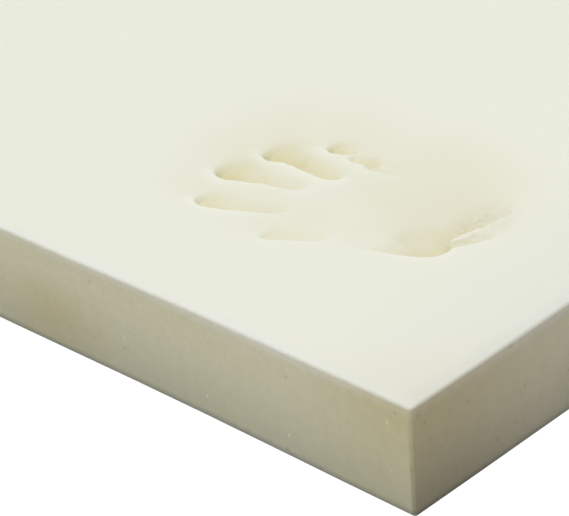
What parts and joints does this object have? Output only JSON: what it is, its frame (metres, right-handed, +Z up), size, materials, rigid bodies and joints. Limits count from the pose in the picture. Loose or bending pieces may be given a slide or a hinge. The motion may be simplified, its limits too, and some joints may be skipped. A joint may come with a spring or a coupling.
{
  "type": "mattress topper",
  "caption": "Bare memory foam slab for a single bed, cut square, with a hand's print still pressed in its top near one corner.",
  "frame": {"origin": "centre of the slab's flat underside", "axes": "+Z up through the foam, +Y along the bed, +X across it; the print is near the corner at +X, -Y"},
  "size_m": [0.9922, 1.9062, 0.0655],
  "materials": {
    "foam": "cream open-cell foam, matt, fine pored, deeper cream where it is pressed in"
  },
  "bodies": {
    "root": {"foam_slab": "foam"}
  },
  "joints": []
}
